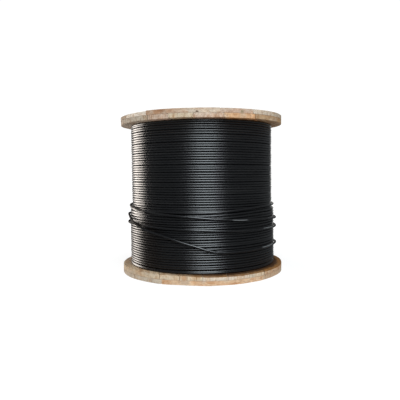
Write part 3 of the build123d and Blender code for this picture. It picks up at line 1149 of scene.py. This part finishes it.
@dataclass
class Ply(Piece):
    """One ply of a flange: boards side by side, sawn round, with abraded edges and uneven faces.

    A sunk board has its number and how much thinner it is at each end. The abraded edge has its
    depth and the azimuths between which it runs, and each flat the azimuths of a straight cut.
    """

    name: str
    turn: float
    free: Face
    tones: tuple[Tone, ...]
    far_tones: tuple[Tone, ...]
    seed: int
    inner: bool
    # Painted light: a factor on all the ply's tones, below 1 on the upper plies and above 1 on the
    # lower ones, for how the light falls on them.
    shade: float = 1.0
    stained: float = 0.0
    sunk: tuple[tuple[int, float, float], ...] = ()
    worn_edge: tuple[float, float, float] = (0.0, 0.0, 0.0)
    worn_from: float = 0.344
    worn_fade: float = 30.0
    flats: tuple[tuple[float, float], ...] = ()
    flat_depth: float = 0.6
    flat_reach: float = 0.05
    flange_radius: float = 0.375
    rim_width: float = 0.004
    rim_setback: tuple[float, float] = (0.0001, 0.0007)
    rim_roughness: float = 0.00045
    bore_radius: float = 0.040
    ease: float = 0.0016
    dip: float = 0.0005
    dip_spread: float = 0.00015
    thinner: float = 0.0009
    across_steps: int = 26
    along_steps: int = 14
    wall_steps: int = 4
    end_fold: tuple[float, ...] = (0.66, 0.33, 0.1, 0.0)
    bolt_hole: float = 0.007
    recess_radius: float = 0.02413
    recess_depth: float = 0.013
    groove: tuple[float, float, float] = (0.1577, 0.1803, 0.008)
    overcut: float = 0.004
    bored_reach: float = 0.185
    bore_steps: int = 64
    hole_steps: int = 40
    groove_steps: int = 96
    soil: float = 0.04
    joint_soil: float = 0.5
    bore_soil: float = 0.35
    seam_soil: float = 0.3
    crease: float = 38.0

    def axes(self) -> tuple[Array, Array]:
        """Directions across and along the boards."""
        cos, sin = math.cos(math.radians(self.turn)), math.sin(math.radians(self.turn))
        return np.array([cos, sin, 0.0]), np.array([-sin, cos, 0.0])

    def extent(self, node: str) -> Extent:
        """Read a board's reach.

        Args:
            node: The name of the board's node.

        Returns:
            The reach of its solid.
        """
        places = self.places(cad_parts[node].data)
        offset, height = places @ self.axes()[0], places[:, 2]
        return Extent(offset.min(), offset.max(), height.min(), height.max())

    def section(self, low: float, high: float, thick: float) -> tuple[Array, Array]:
        """A board's rounded section, as a closed loop.

        Boards at the rim have their points closer together towards the rim, as a sine does.

        Args:
            low: The board's low side across the ply.
            high: Its high side.
            thick: Its thickness.

        Returns:
            Places across the board, and heights.
        """
        ramp = np.linspace(0.0, 1.0, self.across_steps)
        limit = self.flange_radius - self.rim_width
        if high > limit:
            ramp = np.sin(ramp * math.pi / 2.0)
        elif low < -limit:
            ramp = 1.0 - np.cos(ramp * math.pi / 2.0)
        ease, walls = self.ease, self.wall_steps
        run = low + ease + (high - low - 2.0 * ease) * ramp
        curve = np.radians([22.5, 45.0, 67.5])
        wall = np.linspace(ease, thick - ease, walls)
        rise, reach = ease * (1.0 - np.cos(curve)), ease * np.sin(curve)
        across = np.r_[
            run, high - ease + reach, np.full(walls, high), high - ease + reach[::-1],
            run[::-1], low + ease - reach, np.full(walls, low), low + ease - reach[::-1],
        ]
        heights = np.r_[
            np.zeros(len(run)), rise, wall, thick - rise[::-1],
            np.full(len(run), thick), thick - rise, wall[::-1], rise[::-1],
        ]
        return across, heights

    def slab(self, name: str, board: Extent, seed: int) -> bpy.types.Object:
        """One board: its section carried from rim to rim and closed at each end.

        A point's place along the board is its row's share of the half chord at that place
        across, so the ends follow the rim; the end rows bend over to round the edge and then
        fold to the middle. The rim is set back by a seeded unevenness, and the free face dips
        by another.

        Args:
            name: The piece's name.
            board: The board's reach.
            seed: The seed of its unevenness.

        Returns:
            The board, not yet bored.
        """
        least, spread = self.rim_setback
        radius = self.flange_radius - (least + spread * np.random.default_rng(seed).random())
        thick = board.top - board.bottom
        half = thick / 2.0
        across, heights = self.section(max(board.low, -radius), min(board.high, radius), thick)
        folds = len(self.end_fold)
        bend = np.r_[np.zeros(self.along_steps), 30.0, 60.0, np.full(folds + 1, QUARTER_TURN)]
        bend = np.radians(bend)
        rows = np.minimum(np.arange(len(bend)) / (self.along_steps - 1.0), 1.0)[:, None]
        pull = self.ease * (1.0 - np.sin(bend))[:, None]
        squeeze = 1.0 - self.ease / half * (1.0 - np.cos(bend))
        squeeze[-folds:] *= self.end_fold
        height = half + (heights - half) * squeeze[:, None]
        ends = []
        for sign in (-1, 1):
            rough = np.clip(Ripple(seed + sign + 2, 0.09, 0.006).at(across), -2.0, 2.0)
            reach = radius - self.rim_roughness * (1.0 + rough / 2.0)
            chord = np.sqrt(np.maximum(reach**2 - across**2, 0.0))
            ends.append(sign * np.maximum(chord - pull, 0.0) * rows)
        along = np.r_[ends[0][::-1], ends[1][1:]]
        height = np.r_[height[::-1], height[1:]]
        wide = np.broadcast_to(across, along.shape)
        cross_axis, long_axis = self.axes()
        points = wide[..., None] * cross_axis + along[..., None] * long_axis
        ripples = Ripple(seed + 7, 0.5, 0.08).at(along) + Ripple(seed + 8, 0.16, 0.03).at(wide)
        dip = np.maximum(self.dip + self.dip_spread * ripples, 0.0)
        dip += self.board_drop(seed, along) + self.edge_drop(points)
        share = height / thick if self.free is Face.TOP else 1.0 - height / thick
        points *= self.flat_cuts(points)[..., None]
        points[..., 2] = board.bottom + height - self.free.value * dip * np.clip(share, 0.0, 1.0)
        return self.make(name, points, self.grid_faces(*along.shape, False, True))

    def board_drop(self, seed: int, along: Array) -> Array:
        """How much thinner a board is than the thickest one, with a little taper along it.

        A board on the sunk list goes by its own drops, from one end's to the other's.

        Args:
            seed: The board's seed, which ends in its number.
            along: Places along the board.

        Returns:
            The drops.
        """
        rng = np.random.default_rng(seed + 31)
        thinner, taper = self.thinner * rng.random(), rng.uniform(-0.8, 0.8)
        drop = thinner * (1.0 + taper * along / self.flange_radius)
        for number, near, far in self.sunk:
            if number == seed % 100 + 1:
                share = smooth_step(-self.flange_radius, self.flange_radius, along)
                drop = near + (far - near) * share
        return drop

    def edge_drop(self, points: Array) -> Array:
        """How far the rim is abraded: nothing by the cable, all at the edge.

        Args:
            points: Points of the ply.

        Returns:
            The drops.
        """
        depth, start, stop = self.worn_edge
        fade, radius = self.worn_fade, np.hypot(points[..., 0], points[..., 1])
        stretch = between(start, start + fade, stop - fade, stop, azimuths_of(points))
        return depth * stretch * smooth_step(self.worn_from, self.flange_radius - 0.002, radius)

    def inset(self, points: Array) -> Array:
        """How far the rim lies inside the round where it was sawn straight.

        It is the radius less the chord's distance from the axis in the point's direction, times a
        share, because such a cut bows outwards.

        Args:
            points: Points of the ply.

        Returns:
            The insets.
        """
        azimuths = azimuths_of(points)
        inset = np.zeros_like(azimuths)
        for start, stop in self.flats:
            half = math.radians(stop - start) / 2.0
            off = np.clip(np.radians(azimuths - (start + stop) / 2.0), -half, half)
            inset += self.flat_depth * self.flange_radius * (1.0 - math.cos(half) / np.cos(off))
        return inset

    def flat_cuts(self, points: Array) -> Array:
        """How the boards' outer part draws in by degrees, so that the rim is straight.

        Args:
            points: Points of the ply.

        Returns:
            The share of its radius that each point keeps.
        """
        radius = np.maximum(np.hypot(points[..., 0], points[..., 1]), 0.001)
        taken = smooth_step(self.flange_radius - self.flat_reach, self.flange_radius, radius)
        return 1.0 - self.inset(points) * taken / radius

    def cutters(self, bottom: float, top: float) -> bpy.types.Object:
        """Everything that is bored or grooved out of the ply, as turned shells.

        Args:
            bottom: The ply's lower face.
            top: Its upper face.

        Returns:
            The shells in one piece, for the cuts alone.
        """
        below, above = bottom - self.overcut, top + self.overcut
        bore, hole, wide = self.bore_radius, self.bolt_hole, self.recess_radius
        upper = self.free is Face.TOP
        spindle = [[0.0, below], [bore, below], [bore, above], [0.0, above]]
        shells = [self.turned(spindle, self.bore_steps)]
        wall = [[hole, below], [hole, above]]
        if not self.inner:
            seat = top - self.recess_depth if upper else bottom + self.recess_depth
            first, second = (hole, wide) if upper else (wide, hole)
            wall = [[first, below], [first, seat], [second, seat], [second, above]]
        points, faces = self.turned([[0.0, below], *wall, [0.0, above]], self.hole_steps)
        shells += [(points + place, faces) for place in bolt_places()]
        if self.inner:
            inside, outside, deep = self.groove
            low, high = (top - deep, above) if upper else (below, bottom + deep)
            ring = [[inside, low], [outside, low], [outside, high], [inside, high]]
            shells.append(self.turned(ring, self.groove_steps))
        return self.joined(f"{self.name}_cutter", shells)

    def cut(self, piece: bpy.types.Object, cutter: bpy.types.Object) -> None:
        """Take the cutter's shells out of a board and keep the result as its mesh.

        Args:
            piece: The board.
            cutter: The shells.
        """
        tool = piece.modifiers.new("bores", "BOOLEAN")
        tool.operation, tool.solver, tool.object = "DIFFERENCE", "EXACT", cutter
        shown = piece.evaluated_get(bpy.context.evaluated_depsgraph_get())
        mesh = bpy.data.meshes.new_from_object(shown)
        piece.modifiers.clear()
        old, piece.data = piece.data, mesh
        bpy.data.meshes.remove(old)
        mesh.name = piece.name

    def dress(self, piece: bpy.types.Object, index: int, board: Extent) -> None:
        """Store where each point lies in its log, its tone, how far it is end grain, and its soil.

        Args:
            piece: The board.
            index: Its place in the ply.
            board: Its reach.
        """
        rng = np.random.default_rng(self.seed * 100 + index)
        places, normals = self.places(piece.data), self.places(piece.data, "normal")
        cross_axis, long_axis = self.axes()
        along, across, height = places @ long_axis, places @ cross_axis, places[:, 2]
        heart = np.array([
            rng.uniform(0.2, 3.0),
            (board.low + board.high) / 2.0 + rng.uniform(-0.05, 0.05),
            board.bottom - rng.uniform(0.01, 0.09),
        ])
        self.give(piece, "grain", np.c_[along, across, height] - heart)
        self.give(piece, "end", np.abs(normals @ long_axis))
        border = 0.03 * Ripple(self.seed + index, 0.3, 0.05).at(across)
        share = smooth_step(-0.06, 0.06, along + border)[:, None]
        near, far = np.array(self.tones[index].value), np.array(self.far_tones[index].value)
        # Painted light: the tone is scaled by the ply's shade factor.
        tone = self.shade * (near * (1.0 - share) + far * share)
        self.give(piece, "tone", np.c_[tone, np.ones(len(tone))])
        radius = np.hypot(places[:, 0], places[:, 1])
        rim = radius > self.flange_radius - self.inset(places) - self.rim_width
        joint = (np.abs(normals @ cross_axis) > 0.6) & ~rim
        bored = smooth_step(self.bore_radius + 0.01, self.bore_radius + 0.0015, radius)
        hidden = board.bottom if self.free is Face.TOP else board.top
        seam = smooth_step(0.0017, 0.0006, np.abs(height - hidden)) * rim
        soil = self.soil + self.joint_soil * joint
        soil += self.bore_soil * bored + self.seam_soil * seam
        self.give(piece, "soil", np.clip(soil, 0.0, 1.0))
        facing = smooth_step(0.5, 0.9, normals[:, 2] * self.free.value)
        self.give(piece, "stain", self.stained * facing)

    def build(self, finish: bpy.types.Material) -> None:
        """Build every board of the ply.

        Args:
            finish: The boards' timber.
        """
        nodes = [f"{self.name}_board_{index + 1}" for index in range(len(self.tones))]
        first = self.extent(nodes[0])
        cutter = self.cutters(first.bottom, first.top)
        for index, node in enumerate(nodes):
            board = self.extent(node)
            piece = self.slab(f"{node}_sawn", board, self.seed * 100 + index)
            if board.low < self.bored_reach and board.high > -self.bored_reach:
                self.cut(piece, cutter)
            piece.data.shade_smooth()
            piece.data.set_sharp_from_angle(angle=math.radians(self.crease))
            self.dress(piece, index, board)
            self.settle(piece, "board_timber", finish, [node])
        bpy.data.objects.remove(cutter)


@dataclass
class Fasteners(Piece):
    """Tie bolts with chamfered heads, nuts and square washers, and the nails of both flanges."""

    bolt_radius: float = 0.006
    apothem: float = 0.0095
    flat_share: float = 0.94
    head_height: float = 0.008
    nut_height: float = 0.010
    washer_side: float = 0.032
    washer_thickness: float = 0.003
    washer_ease: float = 0.0005
    washer_power: int = 9
    washer_turn: float = 0.4
    upper_seat: float = 0.703
    lower_seat: float = 0.015
    bolt_end: float = 0.0005
    bolt_chamfer: float = 0.0009
    head_overlap: float = 0.001
    hole_gap: float = 0.0006
    thread: tuple[float, float] = (0.0008, 0.03)
    ridges: int = 40
    ridge_depth: float = 0.0004
    shank_steps: int = 24
    columns: int = 48
    crease: float = 30.0
    upper_face: float = 0.716
    lower_face: float = 0.0
    nail_columns: int = 10
    nail_spacing: float = 0.104
    nail_pair: tuple[float, float] = (0.026, 0.018)
    nail_stray: float = 0.004
    nail_radii: tuple[float, float] = (0.062, 0.352)
    nail_bolt_gap: float = 0.036
    nail_sink: tuple[float, float] = (0.0009, 0.0006)
    nail_dome: tuple[tuple[float, float], ...] = (
        (0.0, 0.0007), (0.0026, 0.0005), (0.0042, 0.0), (0.0042, -0.0016),
    )

    def hexagon(self, bottom: float, top: float, up: bool) -> Shell:
        """A hexagon with a turned chamfer on one face.

        The wall's radius is the apothem over the cosine of the angle from the nearest flat, and
        the chamfer falls by the tangent of 30 degrees outside the flat circle.

        Args:
            bottom: Its lower face.
            top: Its upper face.
            up: Whether the chamfer is on the upper face.

        Returns:
            Points and quads.
        """
        angles = self.circle(self.columns)
        sixth = math.pi / 3.0
        wall = self.apothem / np.cos((angles + sixth / 2.0) % sixth - sixth / 2.0)
        flat = np.full_like(angles, self.flat_share * self.apothem)
        zero, high = np.zeros_like(angles), np.full_like(angles, top - bottom)
        fall = (wall - flat) * math.tan(math.radians(30.0))
        radii = np.stack([zero, flat * 0.5, flat, wall, wall, zero])
        heights = np.stack([high, high, high, high - fall, zero, zero])
        heights = heights if up else high - heights
        points = self.polar(radii, angles, bottom + heights)
        return points, self.grid_faces(len(radii), self.columns, False, True)

    def shank(self, bottom: float, top: float) -> Shell:
        """A bolt's shank with a chamfered, finely ridged thread at its lower end.

        Args:
            bottom: Its lower end.
            top: Its upper end.

        Returns:
            Points and quads.
        """
        first, last = self.thread
        thread = np.linspace(bottom + first, bottom + last, self.ridges)
        radii = self.bolt_radius - self.ridge_depth * (np.arange(self.ridges) % 2)
        profile = np.r_[
            [[0.0, bottom], [self.bolt_radius - self.bolt_chamfer, bottom]],
            np.c_[radii, thread],
            [[self.bolt_radius, top], [0.0, top]],
        ]
        return self.turned(profile, self.shank_steps)

    def washer(self, bottom: float, turn: float) -> Shell:
        """A square plate with rounded corners and a hole, its edges eased.

        The rim's radius is that of a superellipse of a high power about the square.

        Args:
            bottom: Its lower face.
            turn: How far it is turned, in radians.

        Returns:
            Points and quads.
        """
        angles, power = self.circle(self.columns), self.washer_power
        powers = np.abs(np.cos(angles)) ** power + np.abs(np.sin(angles)) ** power
        rim = self.washer_side / 2.0 / powers ** (1.0 / power)
        hole = np.full_like(angles, self.bolt_radius + self.hole_gap)
        thick, ease = self.washer_thickness, self.washer_ease
        radii = np.stack([hole, hole, rim - ease, rim, rim, rim - ease])
        heights = np.array([0.0, thick, thick, thick - ease, ease, 0.0])[:, None]
        points = self.polar(radii, angles + turn, bottom + heights)
        return points, self.grid_faces(len(radii), self.columns, True, True)

    def nails(self, name: str, face: float, up: bool, seed: int, turn: float) -> bpy.types.Object:
        """Domed nail heads in rows where the boards of the two plies cross.

        A head is a dome of a few rings; its copies stand on a grid turned with the boards, two
        at each crossing, and those near the bore, the bolts or the rim are left out.

        Args:
            name: The piece's name.
            face: The height of the boards' free face.
            up: Whether that face looks up.
            seed: The seed of the heads' unevenness.
            turn: Degrees that the flange is turned.

        Returns:
            The heads.
        """
        rng = np.random.default_rng(seed)
        grid = np.arange(-3, 4) * self.nail_spacing
        spots = np.stack(np.meshgrid(grid, grid), -1).reshape(-1, 2)
        pair = np.array(self.nail_pair)
        spots = np.r_[spots + pair, spots - pair]
        spots += rng.normal(0.0, self.nail_stray, spots.shape)
        cos, sin = math.cos(math.radians(turn)), math.sin(math.radians(turn))
        spots = spots @ np.array([[cos, sin], [-sin, cos]])
        away = np.hypot(*spots.T)
        clear = np.linalg.norm(spots[:, None] - bolt_places()[None, :, :2], axis=2).min(1)
        nearest, farthest = self.nail_radii
        spots = spots[(away < farthest) & (away > nearest) & (clear > self.nail_bolt_gap)]
        sign = 1.0 if up else -1.0
        rings = np.array(self.nail_dome)
        dome = self.polar(rings[:, :1], self.circle(self.nail_columns), sign * rings[:, 1:])
        least, spread = self.nail_sink
        sunk = face - sign * (least + spread * rng.random(len(spots)))
        points = np.c_[spots, sunk][:, None] + dome[None]
        quads = self.grid_faces(len(rings), self.nail_columns, False, True)
        starts = np.arange(len(spots))[:, None, None] * len(dome)
        return self.make(name, points, (starts + quads[None]).reshape(-1, 4))

    def build(self, finish: bpy.types.Material, nail_finish: bpy.types.Material) -> None:
        """Build and dress every fastener.

        Args:
            finish: The bolts' steel.
            nail_finish: The nails' steel.
        """
        slot, places = "fastener_steel", bolt_places()
        seat = self.upper_seat + self.washer_thickness
        under = self.lower_seat - self.washer_thickness
        head = self.hexagon(seat, seat + self.head_height, True)
        shank = self.shank(self.bolt_end, seat + self.head_overlap)
        nut = self.hexagon(under - self.nut_height, under, False)
        sets = []
        for number, place in enumerate(places, 1):
            shells = [(points + place, faces) for points, faces in (head, shank)]
            sets.append((f"hex_bolt_{number}", f"tie_bolt_{number}", shells))
        sets.append(("hex_nuts", "tie_bolt_nuts", [(nut[0] + place, nut[1]) for place in places]))
        for name, bottom in (("lower", under), ("upper", self.upper_seat)):
            plates = [self.washer(bottom, self.washer_turn * index) for index in range(4)]
            shells = [(points + place, faces) for (points, faces), place in zip(plates, places)]
            sets.append((f"{name}_square_washers", f"{name}_washers", shells))
        for name, node, shells in sets:
            piece = self.joined(name, shells)
            piece.data.set_sharp_from_angle(angle=math.radians(self.crease))
            self.settle(piece, slot, finish, [node])
        upper = self.nails("upper_nails", self.upper_face, True, 5, UPPER_TURN)
        self.settle(upper, slot, nail_finish)
        lower = self.nails("lower_nails", self.lower_face, False, 6, LOWER_TURN)
        self.settle(lower, slot, nail_finish)


@dataclass(frozen=True)
class LightPanel:
    """A soft light that faces the drum's middle: degrees from the front to the right and upwards,
    metres away, width and height in metres, watts, and whether glossy surfaces mirror it."""

    name: str
    azimuth: float
    elevation: float
    away: float
    size: tuple[float, float]
    power: float
    colour: Colour
    shine: bool = True
    middle: float = 0.36

    def hang(self) -> None:
        """Put the light into the scene."""
        light = bpy.data.lights.new(self.name, "AREA")
        light.shape = "RECTANGLE"
        light.size, light.size_y = self.size
        light.energy = self.power
        light.color = self.colour
        lamp = bpy.data.objects.new(self.name, light)
        a, e = math.radians(self.azimuth), math.radians(self.elevation)
        away = Vector((math.sin(a) * math.cos(e), -math.cos(a) * math.cos(e), math.sin(e)))
        away *= self.away
        facing = (-away).to_track_quat("-Z", "Y").to_matrix().to_4x4()
        lamp.matrix_world = Matrix.Translation(Vector((0.0, 0.0, self.middle)) + away) @ facing
        lamp.visible_camera = False
        lamp.visible_glossy = self.shine
        bpy.context.scene.collection.objects.link(lamp)


@dataclass
class Studio(Piece):
    """Camera, lights, world and floor."""

    focal_share: float = 471.7 / 400.0
    sensor: float = 36.0
    distance: float = 2.25225
    height: float = 0.46088
    pitch: float = 3.40
    roll: float = 0.642
    yaw: float = 0.228
    floor_half: float = 12.0
    floor_points: int = 25
    floor_height: float = -0.0005
    dim: Colour = (0.9, 0.96, 1.0)
    dim_strength: float = 0.14
    white: Colour = (1.0, 1.0, 1.0)
    white_strength: float = 1.05
    panels: tuple[LightPanel, ...] = (
        LightPanel("left_window", -119.0, 5.0, 3.0, (1.7, 1.8), 83.0, (1.0, 0.91, 0.83)),
        LightPanel("left_wall", -141.0, -1.0, 3.0, (0.6, 1.2), 4.0, (1.0, 0.92, 0.85)),
        LightPanel("right_edge", 160.0, 10.0, 3.0, (0.9, 1.5), 3.0, (1.0, 0.98, 0.95)),
        LightPanel("right_fill", 96.0, 12.0, 3.0, (1.6, 1.6), 14.0, (1.0, 0.97, 0.92), False),
        LightPanel("front_sky", 7.0, 31.0, 2.4, (1.2, 3.0), 50.0, (0.84, 0.94, 1.0)),
        LightPanel("wide_sky", 7.0, 33.0, 2.6, (2.3, 3.0), 53.0, (0.88, 0.95, 1.0)),
    )

    def camera(self) -> None:
        """Stand the camera in front of the drum at the photograph's height and angle."""
        lens = bpy.data.cameras.new("view_camera")
        lens.sensor_width = self.sensor
        lens.lens = self.sensor * self.focal_share
        lens.clip_end = 100.0
        camera = bpy.data.objects.new("view_camera", lens)
        camera.matrix_world = (
            Matrix.Translation((0.0, -self.distance, self.height))
            @ Matrix.Rotation(math.radians(self.yaw), 4, "Z")
            @ Matrix.Rotation(math.radians(QUARTER_TURN - self.pitch), 4, "X")
            @ Matrix.Rotation(math.radians(-self.roll), 4, "Z")
        )
        bpy.context.scene.collection.objects.link(camera)
        bpy.context.scene.camera = camera

    def world(self) -> None:
        """White to the camera, dim grey to everything else."""
        world = bpy.data.worlds.new("studio_world")
        world.use_nodes = True
        sky = Nodes(world.node_tree)
        sky.tree.nodes.clear()
        shaders = [
            sky.add("ShaderNodeBackground", None, {"Color": (*colour, 1.0), "Strength": strength})
            for colour, strength in (
                (self.dim, self.dim_strength), (self.white, self.white_strength),
            )
        ]
        seen = sky.add("ShaderNodeLightPath").outputs["Is Camera Ray"]
        sockets = {0: seen, 1: shaders[0].outputs[0], 2: shaders[1].outputs[0]}
        blend = sky.add("ShaderNodeMixShader", None, sockets)
        sky.add("ShaderNodeOutputWorld", None, {"Surface": blend.outputs[0]})
        bpy.context.scene.world = world

    def floor(self) -> None:
        """A wide flat floor at the drum's foot, as a grid of points."""
        count = self.floor_points
        side = np.linspace(-self.floor_half, self.floor_half, count)
        x, y = np.meshgrid(side, side)
        points = np.stack([x, y, np.full_like(x, self.floor_height)], -1)
        faces = self.grid_faces(count, count, False, False)[:, ::-1]
        floor = self.make("studio_floor", points, faces, weld=False)
        floor.data.materials.append(StudioFloor().build())
        floor.visible_glossy = False

    def build(self) -> None:
        """Set up everything that isn't the drum."""
        self.camera()
        self.world()
        self.floor()
        for panel in self.panels:
            panel.hang()
        bpy.context.scene.view_settings.view_transform = "Standard"


def flange_plies() -> tuple[Ply, ...]:
    """The four plies, from the floor up, with the tones of each board's two ends and each ply's
    painted light factor.

    Returns:
        The plies, not yet built.
    """
    flats = ((-29.0, 3.6), (3.6, 20.0))
    return (
        Ply(
            "lower_outer", LOWER_TURN - QUARTER_TURN, Face.BOTTOM,
            tones("PINK PALE BROWN GREY GREY GREY STRAW"),
            tones("GREY PALE PALE PINK GREY TAN STRAW"),
            seed=3, inner=False, shade=1.17, flats=flats, ease=0.0010, recess_depth=0.015,
        ),
        Ply(
            "lower_inner", LOWER_TURN, Face.TOP,
            tones("CREAM CREAM CREAM PALE PALE CREAM TAN"),
            tones("PALE PALE GREY PALE PINK PALE GREY"),
            seed=4, inner=True, shade=1.16, stained=1.0, worn_edge=(0.0048, -22.0, 100.0),
            flats=flats, ease=0.0010,
        ),
        Ply(
            "upper_inner", UPPER_TURN, Face.BOTTOM,
            tones("PALE GREY GREY PINK CREAM PINK ORANGE BROWN"),
            tones("PALE GREY PINK CREAM PALE GREY TAN BROWN"),
            seed=5, inner=True, shade=0.81, stained=0.25,
        ),
        Ply(
            "upper_outer", UPPER_TURN - QUARTER_TURN, Face.TOP,
            tones("PALE GREY PINK PALE GREY GREY BLEACHED RED"),
            tones("GREY PALE TAN GREY GREY PALE PINK PALE"),
            seed=6, inner=False, shade=0.81, sunk=((7, 0.0032, 0.0004), (6, 0.0036, 0.0006)),
        ),
    )


def main() -> None:
    """Build the drum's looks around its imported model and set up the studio."""
    logging.basicConfig(level=logging.INFO, format="%(name)s: %(message)s")
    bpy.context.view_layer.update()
    Studio().build()
    Winding().build(CableSheath().build())
    timber = SawnTimber().build()
    for ply in flange_plies():
        ply.build(timber)
    Fasteners().build(ZincSteel().build(), ZincSteel("nail_steel", rust_share=0.62).build())
    barrel = BarrelTimber().build()
    for name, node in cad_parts.items():
        if name.startswith("barrel_stave"):
            node.data.materials.clear()
            node.data.materials.append(barrel)


if __name__ == "__main__":
    main()
